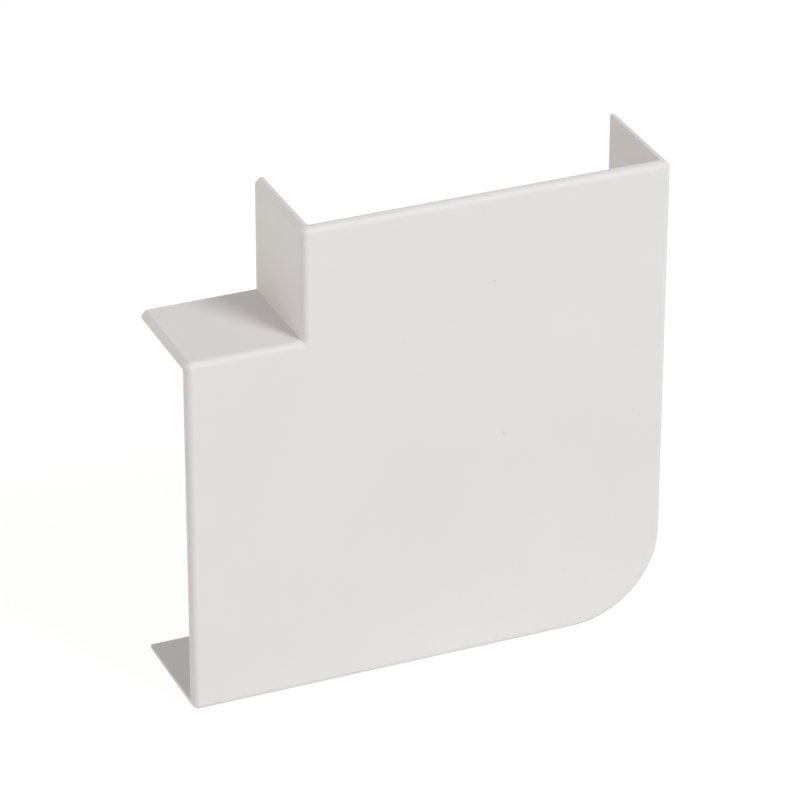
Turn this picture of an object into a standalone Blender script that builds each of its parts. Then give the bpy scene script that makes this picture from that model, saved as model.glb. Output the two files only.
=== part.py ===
"""Flat bend for mini-trunking: a one-piece moulded cover for the corner where a level run turns upwards.

Metres, +Z up. The bend stands on its bottom wall with its face towards -Y, and the open back (+Y) is
the side that goes against the building's wall. The origin is at the middle of the footprint, at its
lowest point. Both legs are alike, so the bend is its own mirror image about the diagonal.
"""
import math

import bmesh
import bpy

# The trunking that the bend covers
TRUNKING_WIDTH = 0.040
TRUNKING_HEIGHT = 0.0125
SIDE_CLEARANCE = 0.0002
LID_CLEARANCE = 0.00005

# The moulded shell
WALL = 0.0010
PLATE = 0.0010
DRAFT_DEGREES = 0.2
OVERLAP = 0.0131
CORNER_RADIUS = 0.0104
NOTCH_RADIUS = 0.0002

# Rounded and chamfered edges
FACE_EDGE_RADIUS = 0.0008
END_CHAMFER = 0.00055
BACK_EDGE_RADIUS = 0.0002
ROOT_RADIUS = 0.0003

# How finely the round stretches are divided
CORNER_STEPS = 24
NOTCH_STEPS = 6
EDGE_STEPS = 6

# Edges that turn by more than this are shaded sharp
SHARP_DEGREES = 30

# Moulded plastic
SHELL_COLOUR = (0.80, 0.775, 0.765, 1.0)
SHELL_ROUGHNESS = 0.42

# Sizes worked out from those above
CHANNEL_WIDTH = TRUNKING_WIDTH + 2 * SIDE_CLEARANCE
LEG_WIDTH = CHANNEL_WIDTH + 2 * WALL
SPAN = OVERLAP + LEG_WIDTH
DEPTH = TRUNKING_HEIGHT + LID_CLEARANCE + PLATE
CUTTER_MARGIN = 0.002
SMALLEST_CHAMFER = 0.00001


def clear_scene():
    """Removes whatever objects the file holds."""
    for item in list(bpy.data.objects):
        bpy.data.objects.remove(item, do_unlink=True)


def arc(centre, radius, start, end, steps):
    """Points along an arc, from one angle to another, in degrees."""
    points = []
    for i in range(steps + 1):
        angle = math.radians(start + (end - start) * i / steps)
        points.append((centre[0] + radius * math.cos(angle), centre[1] + radius * math.sin(angle)))
    return points


def bend_outline(inset, end_inset, chamfer):
    """The bend's L-shaped outline in (x, z), anticlockwise from the left end of the bottom wall.

    The walls' sides are set in by one distance and the two open ends by another, and the corners
    between them are cut by the chamfer. Without a chamfer they stay square.
    """
    left = -SPAN / 2 + end_inset
    top = SPAN - end_inset
    right = SPAN / 2 - inset
    bottom = inset
    side = -SPAN / 2 + OVERLAP + inset
    ledge = SPAN - OVERLAP - inset
    corner = (SPAN / 2 - CORNER_RADIUS, CORNER_RADIUS)
    notch = (side - inset - NOTCH_RADIUS, ledge + inset + NOTCH_RADIUS)

    outline = [(left, bottom + chamfer), (left + chamfer, bottom)]
    outline += arc(corner, CORNER_RADIUS - inset, -90, 0, CORNER_STEPS)
    outline += [(right, top - chamfer), (right - chamfer, top)]
    outline += [(side + chamfer, top), (side, top - chamfer)]
    outline += arc(notch, NOTCH_RADIUS + inset, 0, -90, NOTCH_STEPS)
    outline += [(left + chamfer, ledge), (left, ledge - chamfer)]
    return list(dict.fromkeys(outline))


def loft(sections):
    """A closed solid through outlines of equal length, each given as (depth from the face, outline)."""
    solid = bmesh.new()
    rings = []
    for depth, outline in sections:
        rings.append([solid.verts.new((x, depth - DEPTH / 2, z)) for x, z in outline])
    solid.faces.new(rings[0])
    solid.faces.new(reversed(rings[-1]))
    for front, back in zip(rings, rings[1:]):
        for i in range(len(front)):
            j = (i + 1) % len(front)
            solid.faces.new((front[i], back[i], back[j], front[j]))
    bmesh.ops.recalc_face_normals(solid, faces=solid.faces)
    return solid


def quarter_round(radius):
    """How far in from a sharp edge's two faces a rounding lies, step by step: (depth, inset) pairs."""
    return [(radius - dx, radius - dz) for dx, dz in arc((0, 0), radius, 0, 90, EDGE_STEPS)]


def make_object(name, solid):
    """Puts a bmesh solid into the scene as an object."""
    mesh = bpy.data.meshes.new(name)
    solid.to_mesh(mesh)
    solid.free()
    mesh_object = bpy.data.objects.new(name, mesh)
    bpy.context.scene.collection.objects.link(mesh_object)
    return mesh_object


def outer_section(depth, inset):
    """The outline of the full block, with its chamfer kept parallel as the outline is set in."""
    chamfer = max(END_CHAMFER - inset * (2 - math.sqrt(2)), SMALLEST_CHAMFER)
    return depth, bend_outline(inset, inset, chamfer)


def outer_body():
    """The bend as a full block, with rounded face and back edges and chamfered ends."""
    sections = [outer_section(depth, inset) for depth, inset in quarter_round(FACE_EDGE_RADIUS)]
    back_edge = reversed(quarter_round(BACK_EDGE_RADIUS))
    sections += [outer_section(DEPTH - depth, inset) for depth, inset in back_edge]
    return make_object("bend_cover", loft(sections))


def channel_section(depth, inset=0.0):
    """The outline of the space for the trunking, which narrows towards the face, run past both ends."""
    wall = WALL - (depth - PLATE) * math.tan(math.radians(DRAFT_DEGREES))
    return depth, bend_outline(wall + inset, -CUTTER_MARGIN, 0.0)


def channel_cutter():
    """The space for the trunking: drafted sides, a rounded root, open at both ends and at the back."""
    sections = [channel_section(PLATE + depth, inset) for depth, inset in quarter_round(ROOT_RADIUS)]
    sections.append(channel_section(DEPTH + CUTTER_MARGIN))
    cutter = make_object("channel_cutter", loft(sections))
    cutter.hide_render = True
    cutter.display_type = "WIRE"
    return cutter


def plastic():
    """Warm white moulded plastic."""
    material = bpy.data.materials.new("white_plastic")
    material.use_nodes = True
    shader = material.node_tree.nodes["Principled BSDF"]
    shader.inputs["Base Color"].default_value = SHELL_COLOUR
    shader.inputs["Roughness"].default_value = SHELL_ROUGHNESS
    shader.inputs["Metallic"].default_value = 0.0
    return material


def bend_cover():
    """Hollows the block for the trunking and gives it its plastic."""
    body = outer_body()
    hollow = body.modifiers.new("channel", "BOOLEAN")
    hollow.operation = "DIFFERENCE"
    hollow.solver = "EXACT"
    hollow.object = channel_cutter()
    body.data.materials.append(plastic())
    body.data.shade_smooth()
    body.data.set_sharp_from_angle(angle=math.radians(SHARP_DEGREES))
    return body


clear_scene()
bend_cover()
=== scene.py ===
"""Looks of the trunking bend: the moulded shell with its finely rounded edges, plastic, floor and light.

Metres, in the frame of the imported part: the face looks to -Y, the open back to +Y, and +Z is up.
"""
import math

import bmesh
import bpy
from mathutils import Euler, Matrix, Vector


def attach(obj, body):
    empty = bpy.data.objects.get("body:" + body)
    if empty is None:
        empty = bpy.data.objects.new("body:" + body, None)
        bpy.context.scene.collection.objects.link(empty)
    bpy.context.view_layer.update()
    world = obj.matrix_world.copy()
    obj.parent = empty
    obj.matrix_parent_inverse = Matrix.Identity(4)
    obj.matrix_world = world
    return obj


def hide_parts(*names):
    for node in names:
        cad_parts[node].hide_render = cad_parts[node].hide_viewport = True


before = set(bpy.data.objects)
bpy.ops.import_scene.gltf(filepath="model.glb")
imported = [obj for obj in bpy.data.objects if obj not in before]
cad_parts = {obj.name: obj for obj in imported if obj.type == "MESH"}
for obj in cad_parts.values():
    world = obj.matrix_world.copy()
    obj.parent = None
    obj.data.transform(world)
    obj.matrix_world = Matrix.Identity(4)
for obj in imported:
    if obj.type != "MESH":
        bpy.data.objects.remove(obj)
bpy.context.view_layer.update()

# The shell, in the sizes of the part's source
TRUNKING_WIDTH = 0.040
TRUNKING_HEIGHT = 0.0125
SIDE_CLEARANCE = 0.0002
LID_CLEARANCE = 0.00005
WALL = 0.0010
PLATE = 0.0010
DRAFT_DEGREES = 0.2
OVERLAP = 0.0131
CORNER_RADIUS = 0.0104
FACE_EDGE_RADIUS = 0.0008
END_CHAMFER = 0.00055
BACK_EDGE_RADIUS = 0.0002
ROOT_RADIUS = 0.0003
CHANNEL_WIDTH = TRUNKING_WIDTH + 2 * SIDE_CLEARANCE
LEG_WIDTH = CHANNEL_WIDTH + 2 * WALL
SPAN = OVERLAP + LEG_WIDTH
DEPTH = TRUNKING_HEIGHT + LID_CLEARANCE + PLATE
CUTTER_MARGIN = 0.002
SMALLEST_CHAMFER = 0.00001

# The notch's corner is shown sharper than the part's source makes it
NOTCH_RADIUS = 0.00006

# How finely the round stretches are divided, more so than in the part's source
CORNER_STEPS = 64
NOTCH_STEPS = 10
EDGE_STEPS = 12

# The small rounding of a moulding's sharp edges, on edges that turn by more than this angle
BREAK_RADIUS = 0.00008
BREAK_STEPS = 3
BREAK_DEGREES = 35

# How much more a large face counts than a small one beside it when edges are shaded, at most 100
FACE_SIZE_WEIGHT = 100

# The plastic's colour, which drifts between two shades in patches; scales are in repeats per metre
PLASTIC_DARKER = (0.790, 0.768, 0.772, 1)
PLASTIC_LIGHTER = (0.813, 0.791, 0.795, 1)
PATCH_SCALE = 60
PATCH_DETAIL = 3
PATCH_START = 0.3
PATCH_END = 0.7

# Specks, as shares of their cell's size: dark out to the core and gone at the rim
SPECK_SCALE = 175
SPECK_CORE = 0.014
SPECK_RIM = 0.03
SPECK_SHADE = 0.86

# The plastic's gloss, and the fine grain of its surface
SHEEN_SCALE = 260
SHEEN_DETAIL = 4
LEAST_ROUGHNESS = 0.50
MOST_ROUGHNESS = 0.62
SPECULAR_LEVEL = 0.4
GRAIN_SCALE = 5200
GRAIN_DETAIL = 2
GRAIN_STRENGTH = 0.15
GRAIN_HEIGHT = 0.00001

# The photograph's camera: sensor and lens in millimetres, and its turns about X, Y and Z in degrees
SENSOR_WIDTH = 36.0
LENS = 206.4046
CAMERA_PLACE = (-0.1708825, -0.4010490, 0.2656378)
CAMERA_TURNS = (61.5190, -0.0799, -22.9395)
NEAREST_SEEN = 0.01
FARTHEST_SEEN = 20.0

# The even light all round, and the lamps' distance from the middle of the shell
EVEN_LIGHT = (1.0, 0.98, 0.945, 1)
EVEN_STRENGTH = 0.42
LAMP_DISTANCE = 2.2

# What the background and the floor's glow look like where they are seen
WHITE = (1, 1, 1, 1)

# The floor: its reach each way, its look as white card, and its shade and own glow where it is seen
FLOOR_REACH = 3.0
CARD_COLOUR = (0.9, 0.9, 0.9, 1)
CARD_ROUGHNESS = 0.9
FLOOR_SHADE = 0.16
FLOOR_GLOW = 0.91


def arc(centre, radius, start, end, steps):
    """Points along an arc, from one angle to another, in degrees."""
    points = []
    for i in range(steps + 1):
        angle = math.radians(start + (end - start) * i / steps)
        points.append((centre[0] + radius * math.cos(angle), centre[1] + radius * math.sin(angle)))
    return points


def bend_outline(inset, end_inset, chamfer):
    """The bend's L-shaped outline in (x, z), anticlockwise from the left end of the bottom wall.

    The walls' sides are set in by one distance and the two open ends by another, and the corners
    between them are cut by the chamfer. Without a chamfer they stay square.
    """
    left = -SPAN / 2 + end_inset
    top = SPAN - end_inset
    right = SPAN / 2 - inset
    bottom = inset
    side = -SPAN / 2 + OVERLAP + inset
    ledge = SPAN - OVERLAP - inset
    corner = (SPAN / 2 - CORNER_RADIUS, CORNER_RADIUS)
    notch = (side - inset - NOTCH_RADIUS, ledge + inset + NOTCH_RADIUS)

    outline = [(left, bottom + chamfer), (left + chamfer, bottom)]
    outline += arc(corner, CORNER_RADIUS - inset, -90, 0, CORNER_STEPS)
    outline += [(right, top - chamfer), (right - chamfer, top)]
    outline += [(side + chamfer, top), (side, top - chamfer)]
    outline += arc(notch, NOTCH_RADIUS + inset, 0, -90, NOTCH_STEPS)
    outline += [(left + chamfer, ledge), (left, ledge - chamfer)]
    return list(dict.fromkeys(outline))


def loft(sections):
    """A closed solid through outlines of equal length, each given as (depth from the face, outline)."""
    solid = bmesh.new()
    rings = []
    for depth, outline in sections:
        rings.append([solid.verts.new((x, depth - DEPTH / 2, z)) for x, z in outline])
    solid.faces.new(rings[0])
    solid.faces.new(reversed(rings[-1]))
    for front, back in zip(rings, rings[1:]):
        for i in range(len(front)):
            j = (i + 1) % len(front)
            solid.faces.new((front[i], back[i], back[j], front[j]))
    bmesh.ops.recalc_face_normals(solid, faces=solid.faces)
    return solid


def quarter_round(radius):
    """How far in from a sharp edge's two faces a rounding lies, step by step: (depth, inset) pairs."""
    return [(radius - dx, radius - dz) for dx, dz in arc((0, 0), radius, 0, 90, EDGE_STEPS)]


def add_object(name, data):
    """Puts a mesh, a camera or a lamp into the scene."""
    added = bpy.data.objects.new(name, data)
    bpy.context.scene.collection.objects.link(added)
    return added


def make_object(name, solid):
    """Puts a bmesh solid into the scene as an object."""
    mesh = bpy.data.meshes.new(name)
    solid.to_mesh(mesh)
    solid.free()
    return add_object(name, mesh)


def keep_modifiers(mesh_object):
    """Turns an object's modifiers into its own mesh."""
    depsgraph = bpy.context.evaluated_depsgraph_get()
    mesh = bpy.data.meshes.new_from_object(mesh_object.evaluated_get(depsgraph), depsgraph=depsgraph)
    mesh_object.modifiers.clear()
    mesh_object.data = mesh


def outer_section(depth, inset):
    """The outline of the full block, with its chamfer kept parallel as the outline is set in."""
    chamfer = max(END_CHAMFER - inset * (2 - math.sqrt(2)), SMALLEST_CHAMFER)
    return depth, bend_outline(inset, inset, chamfer)


def outer_body():
    """The bend as a full block, with rounded face and back edges and chamfered ends."""
    sections = [outer_section(depth, inset) for depth, inset in quarter_round(FACE_EDGE_RADIUS)]
    back_edge = reversed(quarter_round(BACK_EDGE_RADIUS))
    sections += [outer_section(DEPTH - depth, inset) for depth, inset in back_edge]
    return make_object("shell", loft(sections))


def channel_section(depth, inset=0.0):
    """The outline of the space for the trunking, which narrows towards the face, run past both ends."""
    wall = WALL - (depth - PLATE) * math.tan(math.radians(DRAFT_DEGREES))
    return depth, bend_outline(wall + inset, -CUTTER_MARGIN, 0.0)


def channel_cutter():
    """The space for the trunking: drafted sides, a rounded root, open at both ends and at the back."""
    sections = [channel_section(PLATE + depth, inset) for depth, inset in quarter_round(ROOT_RADIUS)]
    sections.append(channel_section(DEPTH + CUTTER_MARGIN))
    return make_object("channel_cutter", loft(sections))


def cut_channel(body):
    """Hollows the block for the trunking."""
    cutter = channel_cutter()
    hollow = body.modifiers.new("channel", "BOOLEAN")
    hollow.operation = "DIFFERENCE"
    hollow.solver = "EXACT"
    hollow.object = cutter
    keep_modifiers(body)
    bpy.data.objects.remove(cutter, do_unlink=True)


def break_edges(body):
    """Rounds the last sharp edges a little."""
    breaks = body.modifiers.new("edge_breaks", "BEVEL")
    breaks.limit_method = "ANGLE"
    breaks.angle_limit = math.radians(BREAK_DEGREES)
    breaks.width = BREAK_RADIUS
    breaks.segments = BREAK_STEPS
    breaks.use_clamp_overlap = True
    keep_modifiers(body)


def shade(body):
    """Shades the roundings smooth and keeps the flat faces flat up to their edges."""
    body.data.shade_smooth()
    level = body.modifiers.new("flat_faces_stay_flat", "WEIGHTED_NORMAL")
    level.keep_sharp = True
    level.weight = FACE_SIZE_WEIGHT
    keep_modifiers(body)


def shell():
    """The hollow shell, with the last sharp edges broken as a moulding's are."""
    body = outer_body()
    cut_channel(body)
    break_edges(body)
    shade(body)
    return body


def noise(nodes, links, place, scale, detail):
    """Noise over the object's own space."""
    texture = nodes.new("ShaderNodeTexNoise")
    texture.inputs["Scale"].default_value = scale
    texture.inputs["Detail"].default_value = detail
    links.new(place, texture.inputs["Vector"])
    return texture.outputs["Fac"]


def patches(nodes, links, place):
    """The plastic's two shades, in soft patches."""
    colours = nodes.new("ShaderNodeValToRGB")
    darker, lighter = colours.color_ramp.elements
    darker.position = PATCH_START
    darker.color = PLASTIC_DARKER
    lighter.position = PATCH_END
    lighter.color = PLASTIC_LIGHTER
    links.new(noise(nodes, links, place, PATCH_SCALE, PATCH_DETAIL), colours.inputs["Fac"])
    return colours.outputs["Color"]


def specks(nodes, links, place):
    """A factor that is below 1 in a few small specks and 1 elsewhere."""
    cells = nodes.new("ShaderNodeTexVoronoi")
    cells.inputs["Scale"].default_value = SPECK_SCALE
    links.new(place, cells.inputs["Vector"])
    factor = nodes.new("ShaderNodeMapRange")
    factor.inputs["From Min"].default_value = SPECK_CORE
    factor.inputs["From Max"].default_value = SPECK_RIM
    factor.inputs["To Min"].default_value = SPECK_SHADE
    factor.inputs["To Max"].default_value = 1.0
    links.new(cells.outputs["Distance"], factor.inputs["Value"])
    return factor.outputs["Result"]


def tinted(nodes, links, colour, factor):
    """A colour multiplied by a factor."""
    tint = nodes.new("ShaderNodeMix")
    tint.data_type = "RGBA"
    tint.blend_type = "MULTIPLY"
    tint.inputs["Factor"].default_value = 1.0
    first, second = [socket for socket in tint.inputs if socket.type == "RGBA"]
    links.new(colour, first)
    links.new(factor, second)
    return next(socket for socket in tint.outputs if socket.type == "RGBA")


def sheen(nodes, links, place):
    """Roughness that varies a little over the surface."""
    roughness = nodes.new("ShaderNodeMapRange")
    roughness.inputs["To Min"].default_value = LEAST_ROUGHNESS
    roughness.inputs["To Max"].default_value = MOST_ROUGHNESS
    links.new(noise(nodes, links, place, SHEEN_SCALE, SHEEN_DETAIL), roughness.inputs["Value"])
    return roughness.outputs["Result"]


def grain(nodes, links, place):
    """The very fine grain of a moulded surface."""
    bump = nodes.new("ShaderNodeBump")
    bump.inputs["Strength"].default_value = GRAIN_STRENGTH
    bump.inputs["Distance"].default_value = GRAIN_HEIGHT
    links.new(noise(nodes, links, place, GRAIN_SCALE, GRAIN_DETAIL), bump.inputs["Height"])
    return bump.outputs["Normal"]


def shell_plastic():
    """Satin white plastic with a fine moulded texture."""
    material = bpy.data.materials.new("shell_plastic")
    material.use_nodes = True
    nodes, links = material.node_tree.nodes, material.node_tree.links
    place = nodes.new("ShaderNodeTexCoord").outputs["Object"]
    shader = nodes["Principled BSDF"]
    colour = tinted(nodes, links, patches(nodes, links, place), specks(nodes, links, place))
    links.new(colour, shader.inputs["Base Color"])
    links.new(sheen(nodes, links, place), shader.inputs["Roughness"])
    links.new(grain(nodes, links, place), shader.inputs["Normal"])
    shader.inputs["Specular IOR Level"].default_value = SPECULAR_LEVEL
    return material


def camera():
    """The photograph's view."""
    data = bpy.data.cameras.new("camera")
    data.sensor_fit = "HORIZONTAL"
    data.sensor_width = SENSOR_WIDTH
    data.lens = LENS
    data.clip_start = NEAREST_SEEN
    data.clip_end = FARTHEST_SEEN
    view = add_object("camera", data)
    turns = Euler([math.radians(turn) for turn in CAMERA_TURNS])
    view.matrix_world = Matrix.LocRotScale(Vector(CAMERA_PLACE), turns, None)
    bpy.context.scene.camera = view


def area_lamp(name, turn, rise, side, power, colour):
    """A soft square lamp aimed at the shell, so many degrees to the right of its front and above it."""
    data = bpy.data.lights.new(name, "AREA")
    data.shape = "SQUARE"
    data.size = side
    data.energy = power
    data.color = colour
    lamp = add_object(name, data)
    turn, rise = math.radians(turn), math.radians(rise)
    across = math.cos(rise)
    direction = Vector((across * math.sin(turn), -across * math.cos(turn), math.sin(rise)))
    lamp.location = Vector((0, 0, SPAN / 2)) + LAMP_DISTANCE * direction
    lamp.rotation_euler = (-direction).to_track_quat("-Z", "Y").to_euler()


def seen_directly(nodes, links):
    """1 where the camera looks, also through a mirror or glass, and 0 where light is only gathered."""
    path = nodes.new("ShaderNodeLightPath")
    share = path.outputs["Is Camera Ray"]
    for ray in ("Is Glossy Ray", "Is Transmission Ray"):
        either = nodes.new("ShaderNodeMath")
        either.operation = "MAXIMUM"
        links.new(share, either.inputs[0])
        links.new(path.outputs[ray], either.inputs[1])
        share = either.outputs[0]
    return share


def gathered_or_seen(nodes, links, gathered, seen):
    """One shader for light that is gathered, and another for what is seen."""
    mix = nodes.new("ShaderNodeMixShader")
    links.new(seen_directly(nodes, links), mix.inputs["Fac"])
    links.new(gathered.outputs[0], mix.inputs[1])
    links.new(seen.outputs[0], mix.inputs[2])
    return mix.outputs[0]


def shader_node(nodes, kind, **values):
    """A shader node with the given values on its sockets."""
    node = nodes.new(kind)
    for name, value in values.items():
        node.inputs[name].default_value = value
    return node


def world_light():
    """Even, pale surroundings, white where they are seen."""
    world = bpy.data.worlds.new("surroundings")
    bpy.context.scene.world = world
    world.use_nodes = True
    nodes, links = world.node_tree.nodes, world.node_tree.links
    nodes.clear()
    light = shader_node(nodes, "ShaderNodeBackground", Color=EVEN_LIGHT, Strength=EVEN_STRENGTH)
    white = shader_node(nodes, "ShaderNodeBackground", Color=WHITE, Strength=1.0)
    out = nodes.new("ShaderNodeOutputWorld")
    links.new(gathered_or_seen(nodes, links, light, white), out.inputs["Surface"])


def floor():
    """A plain pale floor: it gathers light as white card does, and shows a faint shadow where it is seen."""
    solid = bmesh.new()
    bmesh.ops.create_grid(solid, x_segments=1, y_segments=1, size=FLOOR_REACH)
    plane = make_object("floor", solid)
    material = bpy.data.materials.new("floor_white")
    material.use_nodes = True
    nodes, links = material.node_tree.nodes, material.node_tree.links
    card = nodes["Principled BSDF"]
    card.inputs["Base Color"].default_value = CARD_COLOUR
    card.inputs["Roughness"].default_value = CARD_ROUGHNESS
    card.inputs["Specular IOR Level"].default_value = 0.0
    dim_grey = (FLOOR_SHADE, FLOOR_SHADE, FLOOR_SHADE, 1)
    shaded = shader_node(nodes, "ShaderNodeBsdfDiffuse", Color=dim_grey)
    glow = shader_node(nodes, "ShaderNodeEmission", Color=WHITE, Strength=FLOOR_GLOW)
    both = nodes.new("ShaderNodeAddShader")
    links.new(shaded.outputs[0], both.inputs[0])
    links.new(glow.outputs[0], both.inputs[1])
    links.new(gathered_or_seen(nodes, links, card, both), nodes["Material Output"].inputs["Surface"])
    plane.data.materials.append(material)


piece = shell()
piece.data.materials.append(shell_plastic())
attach(piece, "root")
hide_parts("bend_cover")

camera()
floor()
world_light()
area_lamp("key", turn=27, rise=41, side=0.6, power=25.2, colour=(0.958, 0.978, 1.0))
area_lamp("left_fill", turn=-70, rise=10, side=1.0, power=3.0, colour=(1.0, 0.94, 0.85))
area_lamp("back_fill", turn=-130, rise=10, side=1.0, power=7.2, colour=(1.0, 0.95, 0.77))

bpy.context.scene.view_settings.view_transform = "Standard"
